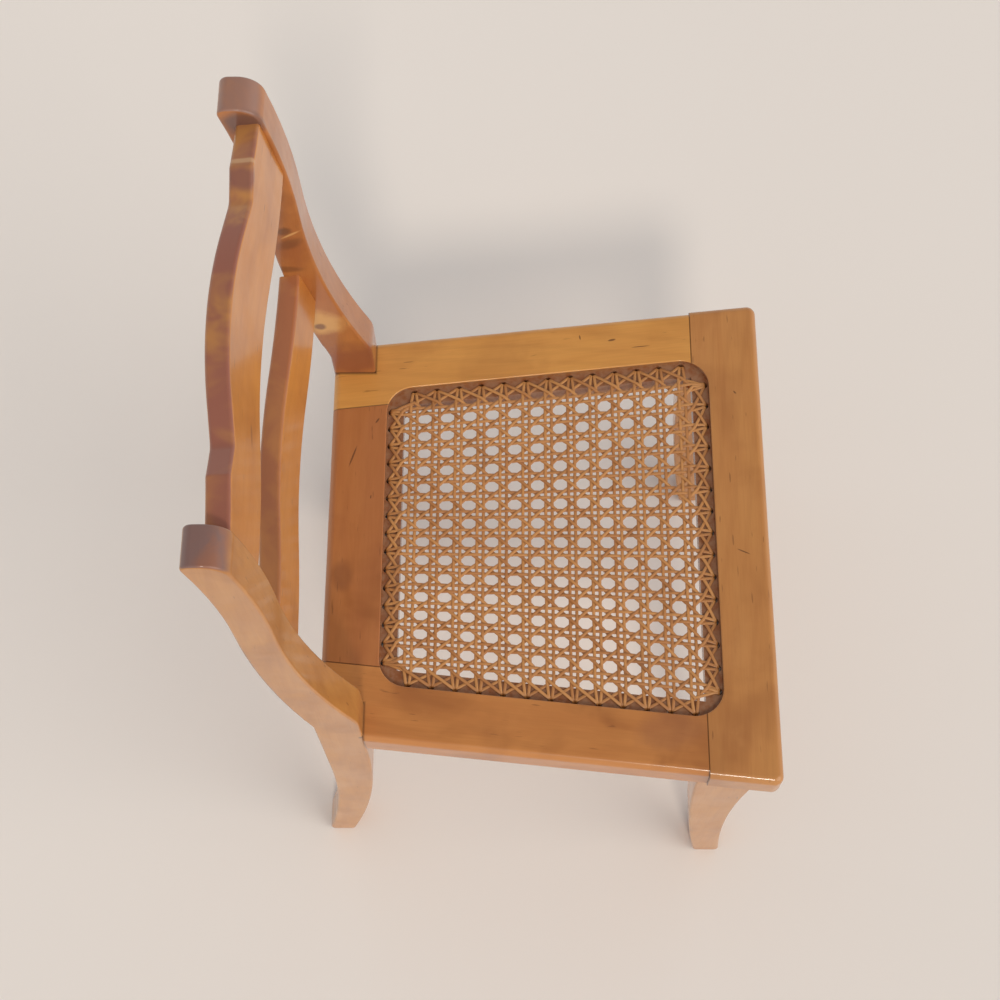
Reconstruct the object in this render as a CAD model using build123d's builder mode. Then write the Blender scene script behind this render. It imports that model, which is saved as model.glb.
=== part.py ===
"""Child's cane-seat chair: sawn posts, bowed back rails, a flat caned seat frame and curved front legs.

Millimetres. +Z is up and the chair faces -Y. The origin is on the floor, under the middle of the chair.
The sitter's right is -X.
"""

import os
from math import atan, cos, radians, sin

from build123d import *

os.makedirs("parts", exist_ok=True)

# Seat frame
seat_height = 240.0  # floor to the top of the seat frame
seat_depth = 265.0  # front edge to rear edge
seat_front_width = 306.6  # to the side rails, whose lines run on to the front edge
seat_rear_width = 250.6
rail_thickness = 21.0
front_rail_width = 42.0
front_rail_proud = 1.4  # each end past the side rail
rear_rail_width = 44.0
side_rail_width = 43.8  # square to the rail
seat_corner_round = 5.5  # front corners, seen from above
seat_top_round = 4.5  # outer edge, upper side
seat_under_round = 2.0  # outer edge, lower side
under_bevel_width = 4.5  # inner edge, lower side
under_bevel_height = 7.5

# Rabbet that the cane is laced into
ledge_width = 10.2
rabbet_depth = 4.0
rabbet_corner_round = 17.0
rabbet_edge_round = 0.8
joint_groove_width = 0.7  # worn line where two rails meet
joint_groove_depth = 0.45

# Woven cane
cane_rows = 16  # eyes across the seat
cane_columns = 14  # eyes from front to rear
cane_eye = 7.0  # open eye, across its flats
cane_eye_sides = 8
cane_thickness = 2.2
cane_rim = 2.0  # cane beyond the line of laced holes
cane_hole_diameter = 4.4
cane_hole_setback = 2.7  # rabbet wall to the middle of a laced hole

# Posts: back stile and rear leg in one plank
stile_thickness = 20.6
stile_inset = 0.9  # outer face inside the seat's edge, at the front of its notch
stile_seat_depth = 26.0
back_height = 273.0  # seat top to the top of the posts
back_overhang = 29.6  # top rear corner of the posts behind the seat
stile_top_depth = 20.6
stile_waist_rise = 181.0  # height above the seat where the back stands upright
stile_waist_setback = -0.5  # front of the waist behind the seat's rear edge
stile_waist_depth = 19.8
stile_shoulder_rise = 29.0  # upright front face above the seat
stile_rear_rise = 19.0  # upright rear face above the seat
rear_leg_front_drop = 35.0  # upright front face below the seat top
rear_leg_rear_drop = 75.0  # upright rear face below the seat top
rear_foot_reach = 18.0  # heel of the foot behind the seat's rear edge
rear_foot_depth = 17.0
stile_top_front_round = 13.0
stile_top_rear_round = 5.0
stile_shoulder_round = 30.0
stile_nape_round = 200.0  # easy bend of the rear face above the seat

# Front legs
front_leg_thickness = 21.0
front_leg_inset = 12.6  # outer face inside the end of the front rail
front_leg_setback = 3.5  # top of the leg behind the seat's front edge
front_leg_top_depth = 42.0
front_leg_hollow = 13.8  # how far the front edge is hollowed back
front_leg_hollow_height = 88.0
front_leg_upright = 22.0  # straight part of the rear edge, under the seat
front_foot_setback = 13.0  # toe of the foot behind the seat's front edge
front_foot_depth = 17.5

foot_round = 3.5
edge_round = 1.5  # eased long edges of posts and legs

# Back rails
crest_rise = 218.0  # seat top to the lower edge
crest_end_height = 45.0
crest_cusp_height = 48.5
crest_dip_height = 42.8
crest_crown_height = 51.5
crest_cusp_spread = 161.0  # between the two cusps
crest_dip_spread = 127.0
crest_cusp_round = 3.0
crest_dip_round = 9.0
crest_thickness = 12.0
crest_bow = 5.0
crest_lean = 8.0  # degrees
crest_setback = 1.5  # front face behind the posts' front edge, at the lower edge
stay_rise = 88.0
stay_end_height = 32.5
stay_crown_height = 34.0
stay_thickness = 12.2
stay_bow = 4.0
stay_lean = 10.5  # degrees
stay_setback = 10.9
bow_share = 0.4  # share of the half length where the bow turns from hollow to round
rail_edge_round = 1.8

# Joinery
tenon_length = 13.0
tenon_cheek = 3.0  # shoulder left in front of and behind a tenon
tenon_haunch = 6.0  # shoulder left above and below a tenon
tenon_clearance = 0.1
dowel_diameter = 7.0
dowel_clearance = 0.1
dowel_end_clearance = 0.5
dowel_web = 3.0  # wood left between dowels that come from opposite sides
front_dowel_spacing = 18.6
front_dowel_bite = 15.0
rear_dowel_spacing = 14.0
rear_dowel_bite = 18.0  # into the end of the rear rail
leg_dowel_spacing = 20.4
leg_dowel_rise = 11.0  # up into the seat frame
leg_dowel_drop = 18.0  # down into the leg
stile_dowel_spacing = 12.4
stile_dowel_bite = 13.0  # into the stile

# Levels and lines that follow from these sizes
overall_height = seat_height + back_height
front_y = -(seat_depth + back_overhang) / 2
rear_y = front_y + seat_depth
rail_underside = seat_height - rail_thickness
rail_middle = seat_height - rail_thickness / 2
ledge_top = seat_height - rabbet_depth
rail_widths = (front_rail_width, rear_rail_width, side_rail_width)
side_slope = (seat_front_width - seat_rear_width) / 2 / seat_depth
side_cosine = cos(atan(side_slope))


def edge_x(y, inset=0.0):
    """Half width of the seat at y, with the side drawn in squarely by inset."""
    return seat_front_width / 2 - side_slope * (y - front_y) - inset / side_cosine


def seat_ring(front_inset, rear_inset, side_inset):
    """The four corners of the seat's outline, drawn in on each side."""
    near = front_y + front_inset
    far = rear_y - rear_inset
    return [
        (-edge_x(near, side_inset), near),
        (edge_x(near, side_inset), near),
        (edge_x(far, side_inset), far),
        (-edge_x(far, side_inset), far),
    ]


front_joint_y = front_y + front_rail_width
rear_joint_y = rear_y - rear_rail_width
stile_front_y = rear_y - stile_seat_depth
stile_outer_x = edge_x(stile_front_y) - stile_inset
stile_inner_x = stile_outer_x - stile_thickness
leg_outer_x = seat_front_width / 2 + front_rail_proud - front_leg_inset
leg_middle_x = leg_outer_x - front_leg_thickness / 2
leg_top_middle_y = front_y + front_leg_setback + front_leg_top_depth / 2

# Lines of laced holes
hole_front_y = front_joint_y - ledge_width + cane_hole_setback
hole_rear_y = rear_joint_y + ledge_width - cane_hole_setback
hole_side_inset = side_rail_width - ledge_width + cane_hole_setback
column_pitch = (hole_rear_y - hole_front_y) / cane_columns


def row_pitch(y):
    """Distance between rows of eyes, which fan out towards the wider front."""
    return 2 * edge_x(y, hole_side_inset) / cane_rows


# Dowel joints: the plane between the two pieces, the dowels on it, and how far they reach each way
def dowel_joints(side):
    rear_middle_y = (rear_joint_y + ledge_width + rear_y) / 2
    stile_middle_y = (stile_front_y + rear_y) / 2
    rear_joint_x = edge_x(rear_middle_y, side_rail_width)
    corner_bite = (stile_inner_x - rear_joint_x - dowel_web) / 2
    across = (front_dowel_spacing / 2, -front_dowel_spacing / 2)
    return {
        "front": (
            Plane((0, front_joint_y, rail_middle), x_dir=(1, 0, 0), z_dir=(0, 1, 0)),
            [(side * leg_middle_x + step, 0) for step in across],
            front_dowel_bite,
            front_dowel_bite,
        ),
        "rear": (
            Plane((side * rear_joint_x, rear_middle_y, rail_middle), x_dir=(0, 1, 0), z_dir=(side, 0, 0)),
            [(rear_dowel_spacing / 2, 0), (-rear_dowel_spacing / 2, 0)],
            rear_dowel_bite,
            corner_bite,
        ),
        "leg": (
            Plane((side * leg_middle_x, leg_top_middle_y, rail_underside)),
            [(0, leg_dowel_spacing / 2), (0, -leg_dowel_spacing / 2)],
            leg_dowel_drop,
            leg_dowel_rise,
        ),
        "stile": (
            Plane((side * stile_inner_x, stile_middle_y, rail_middle), x_dir=(0, 1, 0), z_dir=(side, 0, 0)),
            [(stile_dowel_spacing / 2, 0), (-stile_dowel_spacing / 2, 0)],
            corner_bite,
            stile_dowel_bite,
        ),
    }


def pegs(joint, growth=0.0, end_growth=0.0, mode=Mode.ADD):
    """Round pegs through a joint's plane: dowels as they are, or their holes when grown."""
    plane, spots, back, ahead = joint
    with BuildSketch(plane.offset(-back - end_growth)) as section:
        with Locations(*spots):
            Circle(dowel_diameter / 2 + growth)
    extrude(section.sketch, amount=back + ahead + 2 * end_growth, mode=mode)


def drill(joint):
    pegs(joint, dowel_clearance, dowel_end_clearance, Mode.SUBTRACT)


def joint_groove(start, end):
    """A fine V along the top of a joint between two rails."""
    run = Vector(*end) - Vector(*start)
    plane = Plane(start, x_dir=run.cross(Vector(0, 0, 1)), z_dir=run)
    half = joint_groove_width / 2
    with BuildSketch(plane) as section:
        Polygon((-half, 0), (half, 0), (0, joint_groove_depth), align=None)
    extrude(section.sketch, amount=run.length, mode=Mode.SUBTRACT)


def front_joint_groove(side):
    inner = edge_x(front_joint_y, side_rail_width)
    outer = edge_x(front_joint_y) + front_rail_proud
    joint_groove((side * inner, front_joint_y, seat_height), (side * outer, front_joint_y, seat_height))


def rear_joint_groove(side):
    near = (side * edge_x(rear_joint_y, side_rail_width), rear_joint_y, seat_height)
    far = (side * edge_x(rear_y, side_rail_width), rear_y, seat_height)
    joint_groove(near, far)


def keep_region(*corners):
    """Keep only what lies above the given outline on the floor."""
    with BuildSketch() as region:
        Polygon(*corners, align=None)
    extrude(region.sketch, amount=overall_height, mode=Mode.INTERSECT)


# Back rails stand on leaning planes, which their tenons and mortises share
def post_front_y(height):
    """Front edge of the posts at a height between the seat and the waist or above it."""
    waist_z = seat_height + stile_waist_rise
    waist_y = rear_y + stile_waist_setback
    if height < waist_z:
        rise = waist_z - seat_height - stile_shoulder_rise
        lean = waist_y - stile_front_y
        radius = (rise**2 + lean**2) / (2 * lean)
        return waist_y - radius + (radius**2 - (waist_z - height) ** 2) ** 0.5
    rise = overall_height - waist_z
    lean = rear_y + back_overhang - stile_top_depth - waist_y
    radius = (rise**2 + lean**2) / (2 * lean)
    return waist_y + radius - (radius**2 - (height - waist_z) ** 2) ** 0.5


def back_rail_planes(rise, lean, setback):
    """Plan plane and front plane of a rail that leans back with the posts."""
    foot = seat_height + rise
    origin = (0, post_front_y(foot) + setback, foot)
    tilt = radians(lean)
    plan = Plane(origin, x_dir=(1, 0, 0), z_dir=(0, sin(tilt), cos(tilt)))
    front = Plane(origin, x_dir=(1, 0, 0), z_dir=(0, -cos(tilt), sin(tilt)))
    return plan, front


def bowed_strip(plan, bow, thickness, height):
    """A strip between the posts, bowed backwards, standing on its plan plane."""
    turn = (bow_share * stile_inner_x, (1 - bow_share) * bow)
    with BuildSketch(plan) as strip:
        with BuildLine():
            for shift in (0, thickness):
                joint = (turn[0], turn[1] + shift)
                TangentArc((0, bow + shift), joint, tangent=(1, 0))
                TangentArc((stile_inner_x, shift), joint, tangent=(-1, 0))
            Line((stile_inner_x, 0), (stile_inner_x, thickness))
            mirror(about=Plane.YZ)
        make_face()
    extrude(strip.sketch, amount=height)


def tenon(side, plan, thickness, height, growth=0.0, mode=Mode.ADD):
    """A rail's tenon, or its mortise when grown and taken away."""
    centre = plan.from_local_coords((side * stile_inner_x, thickness / 2, height / 2))
    section_plane = Plane(centre, x_dir=plan.y_dir, z_dir=(side, 0, 0))
    with BuildSketch(section_plane) as section:
        Rectangle(thickness - 2 * tenon_cheek + 2 * growth, height - 2 * tenon_haunch + 2 * growth)
    extrude(section.sketch, amount=tenon_length + growth, mode=mode)


def long_edges(part):
    """Edges that run along the chair's width."""
    return part.edges().filter_by(lambda edge: abs(edge.tangent_at(0.5).X) > 0.5)


crest_plan, crest_front = back_rail_planes(crest_rise, crest_lean, crest_setback)
stay_plan, stay_front = back_rail_planes(stay_rise, stay_lean, stay_setback)

sides = {"right": -1, "left": 1}
joints = {name: dowel_joints(side) for name, side in sides.items()}

# Holes that the cane is laced through, all round the rabbet
laced_holes = []
for row in range(1, cane_rows):
    for line_y in (hole_front_y, hole_rear_y):
        laced_holes.append(((row - cane_rows / 2) * row_pitch(line_y), line_y))
for column in range(1, cane_columns):
    line_y = hole_front_y + column * column_pitch
    for side in sides.values():
        laced_holes.append((side * edge_x(line_y, hole_side_inset), line_y))


# Whole seat frame, before it is parted into its four rails
def seat_frame(proud):
    """The frame in one piece, with its sides moved out by proud but its rabbet and holes where they are."""
    with BuildPart() as blank:
        with BuildSketch(Plane.XY.offset(rail_underside)):
            Polygon(*seat_ring(0, 0, -proud), align=None)
            fillet(vertices(), seat_corner_round)
        extrude(amount=rail_thickness)
        fillet(faces().sort_by(Axis.Z)[-1].edges(), seat_top_round)
        fillet(faces().sort_by(Axis.Z)[0].edges(), seat_under_round)
        with BuildSketch(Plane.XY.offset(rail_underside)):
            Polygon(*seat_ring(*rail_widths), align=None)
        extrude(amount=rail_thickness, mode=Mode.SUBTRACT)
        with BuildSketch(Plane.XY.offset(rail_underside)):
            insets = [width - under_bevel_width for width in rail_widths]
            Polygon(*seat_ring(*insets), align=None)
        with BuildSketch(Plane.XY.offset(rail_underside + under_bevel_height)):
            Polygon(*seat_ring(*rail_widths), align=None)
        loft(mode=Mode.SUBTRACT)
        with BuildSketch(Plane.XY.offset(ledge_top)):
            insets = [width - ledge_width for width in rail_widths]
            Polygon(*seat_ring(*insets), align=None)
            fillet(vertices(), rabbet_corner_round)
        extrude(amount=rabbet_depth, mode=Mode.SUBTRACT)
        fillet(faces().sort_by(Axis.Z)[-1].inner_wires().edges(), rabbet_edge_round)
        with BuildSketch(Plane.XY.offset(rail_underside)):
            with Locations(*laced_holes):
                Circle(cane_hole_diameter / 2)
        extrude(amount=rail_thickness, mode=Mode.SUBTRACT)
    return blank.part


frame_blank = seat_frame(0)
front_blank = seat_frame(front_rail_proud)

# Front seat rail, right across the front
with BuildPart() as front_seat_rail:
    add(front_blank)
    reach = seat_front_width
    keep_region((-reach, front_y), (reach, front_y), (reach, front_joint_y), (-reach, front_joint_y))
    for name, side in sides.items():
        drill(joints[name]["front"])
        drill(joints[name]["leg"])
        front_joint_groove(side)
front_seat_rail.part.label = "front_seat_rail"
export_step(front_seat_rail.part, "parts/front_seat_rail.step")

# Rear seat rail, between the side rails
with BuildPart() as rear_seat_rail:
    add(frame_blank)
    keep_region(
        (-edge_x(rear_joint_y, side_rail_width), rear_joint_y),
        (edge_x(rear_joint_y, side_rail_width), rear_joint_y),
        (edge_x(rear_y, side_rail_width), rear_y),
        (-edge_x(rear_y, side_rail_width), rear_y),
    )
    for name, side in sides.items():
        drill(joints[name]["rear"])
        rear_joint_groove(side)
rear_seat_rail.part.label = "rear_seat_rail"
export_step(rear_seat_rail.part, "parts/rear_seat_rail.step")

# Side rails, each notched at its outer rear corner for a post
for name, side in sides.items():
    with BuildPart() as seat_rail:
        add(frame_blank)
        keep_region(
            (side * edge_x(front_joint_y, side_rail_width), front_joint_y),
            (side * seat_front_width, front_joint_y),
            (side * seat_front_width, rear_y),
            (side * edge_x(rear_y, side_rail_width), rear_y),
        )
        with BuildSketch(Plane.XY.offset(rail_underside)):
            with Locations((side * stile_inner_x, stile_front_y)):
                corner = (Align.MIN, Align.MIN) if side > 0 else (Align.MAX, Align.MIN)
                Rectangle(2 * stile_thickness, 2 * stile_seat_depth, align=corner)
        extrude(amount=rail_thickness, mode=Mode.SUBTRACT)
        for joint in joints[name].values():
            drill(joint)
        front_joint_groove(side)
        rear_joint_groove(side)
    seat_rail.part.label = f"{name}_seat_rail"
    export_step(seat_rail.part, f"parts/{name}_seat_rail.step")

# Posts, each sawn from one plank
waist_z = seat_height + stile_waist_rise
waist_front_y = rear_y + stile_waist_setback
waist_rear_y = waist_front_y + stile_waist_depth
top_rear_y = rear_y + back_overhang
top_front_y = top_rear_y - stile_top_depth
shoulder = (stile_front_y, seat_height + stile_shoulder_rise)
nape = (rear_y, seat_height + stile_rear_rise)
heel_y = rear_y + rear_foot_reach
toe_y = heel_y - rear_foot_depth
for name, side in sides.items():
    with BuildPart() as stile:
        with BuildSketch(Plane.YZ.offset(side * stile_inner_x)):
            with BuildLine():
                Line((toe_y, 0), (heel_y, 0))
                TangentArc((rear_y, seat_height - rear_leg_rear_drop), (heel_y, 0), tangent=(0, -1))
                Line((rear_y, seat_height - rear_leg_rear_drop), nape)
                TangentArc((waist_rear_y, waist_z), nape, tangent=(0, -1))
                TangentArc((waist_rear_y, waist_z), (top_rear_y, overall_height), tangent=(0, 1))
                Line((top_rear_y, overall_height), (top_front_y, overall_height))
                TangentArc((waist_front_y, waist_z), (top_front_y, overall_height), tangent=(0, 1))
                TangentArc((waist_front_y, waist_z), shoulder, tangent=(0, -1))
                Line(shoulder, (stile_front_y, seat_height - rear_leg_front_drop))
                TangentArc((stile_front_y, seat_height - rear_leg_front_drop), (toe_y, 0), tangent=(0, -1))
            make_face()
            fillet(vertices().sort_by_distance((*shoulder, 0))[0], stile_shoulder_round)
            fillet(vertices().sort_by_distance((*nape, 0))[0], stile_nape_round)
            fillet(vertices().sort_by_distance((top_front_y, overall_height, 0))[0], stile_top_front_round)
            fillet(vertices().sort_by_distance((top_rear_y, overall_height, 0))[0], stile_top_rear_round)
            fillet(vertices().sort_by_distance((toe_y, 0, 0))[0], foot_round)
            fillet(vertices().sort_by_distance((heel_y, 0, 0))[0], foot_round)
        extrude(amount=side * stile_thickness)
        fillet(faces().filter_by(Axis.X).edges(), edge_round)
        drill(joints[name]["stile"])
        tenon(side, crest_plan, crest_thickness, crest_end_height, tenon_clearance, Mode.SUBTRACT)
        tenon(side, stay_plan, stay_thickness, stay_end_height, tenon_clearance, Mode.SUBTRACT)
    stile.part.label = f"{name}_stile"
    export_step(stile.part, f"parts/{name}_stile.step")

# Front legs, hollowed at the front and swept in at the back
leg_front_y = front_y + front_leg_setback
leg_rear_y = leg_front_y + front_leg_top_depth
front_toe_y = front_y + front_foot_setback
front_heel_y = front_toe_y + front_foot_depth
hollow = (leg_front_y + front_leg_hollow, front_leg_hollow_height)
hip = (leg_rear_y, rail_underside - front_leg_upright)
for name, side in sides.items():
    with BuildPart() as front_leg:
        with BuildSketch(Plane.YZ.offset(side * leg_outer_x)):
            with BuildLine():
                Line((front_toe_y, 0), (front_heel_y, 0))
                TangentArc(hip, (front_heel_y, 0), tangent=(0, -1))
                Line(hip, (leg_rear_y, rail_underside))
                Line((leg_rear_y, rail_underside), (leg_front_y, rail_underside))
                TangentArc(hollow, (leg_front_y, rail_underside), tangent=(0, 1))
                TangentArc(hollow, (front_toe_y, 0), tangent=(0, -1))
            make_face()
            fillet(vertices().sort_by_distance((front_toe_y, 0, 0))[0], foot_round)
            fillet(vertices().sort_by_distance((front_heel_y, 0, 0))[0], foot_round)
        extrude(amount=-side * front_leg_thickness)
        top_edges = faces().sort_by(Axis.Z)[-1].edges()
        fillet(faces().filter_by(Axis.X).edges() - top_edges, edge_round)
        drill(joints[name]["leg"])
    front_leg.part.label = f"front_{name}_leg"
    export_step(front_leg.part, f"parts/front_{name}_leg.step")

# Crest rail: a crowned top edge between two cusps
cusp = (crest_cusp_spread / 2, crest_cusp_height)
dip = (crest_dip_spread / 2, crest_dip_height)
with BuildPart() as crest_rail:
    bowed_strip(crest_plan, crest_bow, crest_thickness, crest_crown_height)
    with BuildSketch(crest_front):
        with BuildLine():
            Line((0, 0), (stile_inner_x, 0))
            Line((stile_inner_x, 0), (stile_inner_x, crest_end_height))
            Line((stile_inner_x, crest_end_height), cusp)
            Line(cusp, dip)
            TangentArc((0, crest_crown_height), dip, tangent=(1, 0))
            mirror(about=Plane.YZ)
        make_face()
        for half in sides.values():
            fillet(vertices().sort_by_distance((half * cusp[0], cusp[1], 0))[0], crest_cusp_round)
            fillet(vertices().sort_by_distance((half * dip[0], dip[1], 0))[0], crest_dip_round)
    extrude(amount=crest_thickness + crest_bow, both=True, mode=Mode.INTERSECT)
    fillet(long_edges(crest_rail.part), rail_edge_round)
    for side in sides.values():
        tenon(side, crest_plan, crest_thickness, crest_end_height)
crest_rail.part.label = "crest_rail"
export_step(crest_rail.part, "parts/crest_rail.step")

# Stay rail: straight below, gently crowned above
with BuildPart() as stay_rail:
    bowed_strip(stay_plan, stay_bow, stay_thickness, stay_crown_height)
    with BuildSketch(stay_front):
        with BuildLine():
            Line((0, 0), (stile_inner_x, 0))
            Line((stile_inner_x, 0), (stile_inner_x, stay_end_height))
            TangentArc((0, stay_crown_height), (stile_inner_x, stay_end_height), tangent=(1, 0))
            mirror(about=Plane.YZ)
        make_face()
    extrude(amount=stay_thickness + stay_bow, both=True, mode=Mode.INTERSECT)
    fillet(long_edges(stay_rail.part), rail_edge_round)
    for side in sides.values():
        tenon(side, stay_plan, stay_thickness, stay_end_height)
stay_rail.part.label = "stay_rail"
export_step(stay_rail.part, "parts/stay_rail.step")

# Woven cane: a flat net of eight-sided eyes, lying on the ledge
with BuildPart() as cane_seat:
    with BuildSketch(Plane.XY.offset(ledge_top)):
        wall_gap = cane_hole_setback - cane_rim
        insets = [width - ledge_width + wall_gap for width in rail_widths]
        Polygon(*seat_ring(*insets), align=None)
        fillet(vertices(), rabbet_corner_round)
        eyes = []
        for column in range(cane_columns):
            eye_y = hole_front_y + (column + 0.5) * column_pitch
            for row in range(cane_rows):
                eyes.append(((row - cane_rows / 2 + 0.5) * row_pitch(eye_y), eye_y))
        with Locations(*eyes):
            RegularPolygon(
                cane_eye / 2,
                cane_eye_sides,
                major_radius=False,
                rotation=180 / cane_eye_sides,
                mode=Mode.SUBTRACT,
            )
    extrude(amount=cane_thickness)
cane_seat.part.label = "cane_seat"
export_step(cane_seat.part, "parts/cane_seat.step")

# Dowels, a pair in each joint
dowel_names = {
    "front": "front_{}_dowels",
    "rear": "rear_{}_dowels",
    "leg": "{}_leg_dowels",
    "stile": "{}_stile_dowels",
}
for name in sides:
    for place, pattern in dowel_names.items():
        node = pattern.format(name)
        with BuildPart() as dowels:
            pegs(joints[name][place])
        dowels.part.label = node
        export_step(dowels.part, f"parts/{node}.step")
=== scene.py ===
import math
import random

import bpy
from mathutils import Matrix, Vector


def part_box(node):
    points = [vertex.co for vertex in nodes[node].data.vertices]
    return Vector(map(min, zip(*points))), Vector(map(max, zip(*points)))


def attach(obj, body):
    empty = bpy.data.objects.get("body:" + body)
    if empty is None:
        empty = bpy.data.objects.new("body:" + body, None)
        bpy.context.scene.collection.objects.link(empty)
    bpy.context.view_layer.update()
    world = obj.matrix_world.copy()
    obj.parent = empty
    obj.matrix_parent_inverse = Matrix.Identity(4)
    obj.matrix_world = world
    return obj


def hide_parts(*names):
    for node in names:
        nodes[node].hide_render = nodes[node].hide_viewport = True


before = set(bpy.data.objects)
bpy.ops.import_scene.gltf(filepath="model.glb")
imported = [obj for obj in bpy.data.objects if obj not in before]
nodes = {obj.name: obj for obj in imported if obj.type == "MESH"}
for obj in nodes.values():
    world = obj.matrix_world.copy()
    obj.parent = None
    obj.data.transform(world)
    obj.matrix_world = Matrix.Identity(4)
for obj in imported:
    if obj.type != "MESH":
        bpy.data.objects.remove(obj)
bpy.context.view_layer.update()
print("frame loaded,", len(nodes), "CAD nodes")

scene = bpy.context.scene
scene.view_settings.view_transform = "Standard"


# small helpers for node trees

def addNode(tree, kind, inputs=None, **settings):
    node = tree.nodes.new(kind)
    for name, value in settings.items():
        setattr(node, name, value)
    for socket, value in (inputs or {}).items():
        if isinstance(value, bpy.types.NodeSocket):
            tree.links.new(value, node.inputs[socket])
        else:
            node.inputs[socket].default_value = value
    return node


def math2(tree, operation, a, b=0.0, c=0.0):
    return addNode(tree, "ShaderNodeMath", {0: a, 1: b, 2: c}, operation=operation).outputs[0]


def times(tree, a, b):
    return math2(tree, "MULTIPLY", a, b)


def apart(tree, a, b):
    # how far two values are from each other
    return math2(tree, "ABSOLUTE", math2(tree, "SUBTRACT", a, b))


def axesOf(tree, vector):
    return addNode(tree, "ShaderNodeSeparateXYZ", {0: vector}).outputs


def ramp(tree, value, low, high, outLow=0.0, outHigh=1.0):
    sockets = {"Value": value, "From Min": low, "From Max": high, "To Min": outLow, "To Max": outHigh}
    return addNode(tree, "ShaderNodeMapRange", sockets, interpolation_type="SMOOTHSTEP").outputs[0]


def mixColour(tree, share, a, b):
    node = addNode(tree, "ShaderNodeMix", data_type="RGBA")
    for socket, value in ((0, share), (6, a), (7, b)):
        if isinstance(value, bpy.types.NodeSocket):
            tree.links.new(value, node.inputs[socket])
        elif socket == 0:
            node.inputs[0].default_value = value
        else:
            node.inputs[socket].default_value = (*value, 1.0)
    return node.outputs[2]


def blend(tree, colour, mask, share, other):
    # the other colour laid over the first where the mask is, at that share
    return mixColour(tree, times(tree, mask, share), colour, other)


def noise(tree, vector, scale, detail=3.0, roughness=0.5, distortion=0.0):
    sockets = {"Vector": vector, "Scale": scale, "Detail": detail, "Roughness": roughness,
               "Distortion": distortion}
    return addNode(tree, "ShaderNodeTexNoise", sockets).outputs[0]


def placed(tree, vector, location=(0, 0, 0), turn=(0, 0, 0), size=(1, 1, 1)):
    # the vector seen from a box at that place, with that turn and half size
    sockets = {"Vector": vector, "Location": location, "Rotation": turn, "Scale": size}
    return addNode(tree, "ShaderNodeMapping", sockets, vector_type="TEXTURE").outputs[0]


def newMaterial(name, viewColour):
    material = bpy.data.materials.new(name)
    material.use_nodes = True
    material.diffuse_color = (*viewColour, 1.0)
    tree = material.node_tree
    tree.nodes.clear()
    shader = addNode(tree, "ShaderNodeBsdfPrincipled")
    output = addNode(tree, "ShaderNodeOutputMaterial")
    tree.links.new(shader.outputs[0], output.inputs[0])
    coords = addNode(tree, "ShaderNodeTexCoord").outputs["Object"]
    return material, tree, shader, coords


# camera, solved from the photograph

camera = {
    "place": (-0.38464, -0.00299, 1.18935),
    "lens": 61.52,
    "sensor": 36.0,
    "clip": (0.02, 60.0),
    "pitch": 66.89,  # degrees below level
    "yaw": 2.38,  # degrees from +X towards +Y
    "roll": -2.37,
}


def makeCamera(look):
    pitch, yaw, roll = (math.radians(look[key]) for key in ("pitch", "yaw", "roll"))
    ahead = Vector((math.cos(pitch) * math.cos(yaw), math.cos(pitch) * math.sin(yaw), -math.sin(pitch)))
    level = ahead.cross(Vector((0, 0, 1))).normalized()
    upright = level.cross(ahead)
    right = math.cos(roll) * level + math.sin(roll) * upright
    up = -math.sin(roll) * level + math.cos(roll) * upright
    data = bpy.data.cameras.new("camera")
    data.lens = look["lens"]
    data.sensor_width = look["sensor"]
    data.clip_start, data.clip_end = look["clip"]
    obj = bpy.data.objects.new("camera", data)
    turn = Matrix((right, up, -ahead)).transposed().to_4x4()
    obj.matrix_world = Matrix.Translation(look["place"]) @ turn
    scene.collection.objects.link(obj)
    scene.camera = obj


makeCamera(camera)
print("camera set")


# floor, sky and lamps

studio = {
    "floorSize": 40.0,
    "floorColour": (0.832, 0.750, 0.681),
    "floorShade": 0.985,  # the faint clouds on the floor
    "floorClouds": 1.1,
    "floorRoughness": 0.75,
    "floorGloss": 0.2,
    "wallLight": (0.738, 0.787, 0.845),
    "ceilingLight": (0.378, 0.403, 0.433),
    "backdrop": (0.80, 0.765, 0.73),
    "ceiling": (0.24, 0.22, 0.215),
    "wallTop": 0.25,  # upward share of a direction: the walls end, the ceiling begins
    "ceilingFrom": 0.80,
    "lampDistance": 3.0,
    "keyFrom": (-0.92, -0.10, 1.0),
    "keyStrength": 0.88,
    "keyAngle": 9.0,  # degrees across, seen from the chair
    "keyColour": (1.0, 0.93, 0.83),
    "fillFrom": (-0.42, -0.80, 0.62),
    "fillStrength": 1.16,
    "fillAngle": 50.0,
    "fillColour": (1.0, 0.95, 0.88),
}


def makeFloor(look):
    half = look["floorSize"] / 2
    corners = [(-half, -half, 0), (half, -half, 0), (half, half, 0), (-half, half, 0)]
    mesh = bpy.data.meshes.new("floor")
    mesh.from_pydata(corners, [], [(0, 1, 2, 3)])
    floor = bpy.data.objects.new("floor", mesh)
    scene.collection.objects.link(floor)
    material, tree, shader, coords = newMaterial("paleFloor", look["floorColour"])
    cloud = noise(tree, coords, look["floorClouds"], 1.0)
    shade = tuple(look["floorShade"] * c for c in look["floorColour"])
    colour = mixColour(tree, ramp(tree, cloud, 0.35, 0.65), look["floorColour"], shade)
    tree.links.new(colour, shader.inputs["Base Color"])
    shader.inputs["Roughness"].default_value = look["floorRoughness"]
    shader.inputs["Specular IOR Level"].default_value = look["floorGloss"]
    mesh.materials.append(material)


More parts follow.
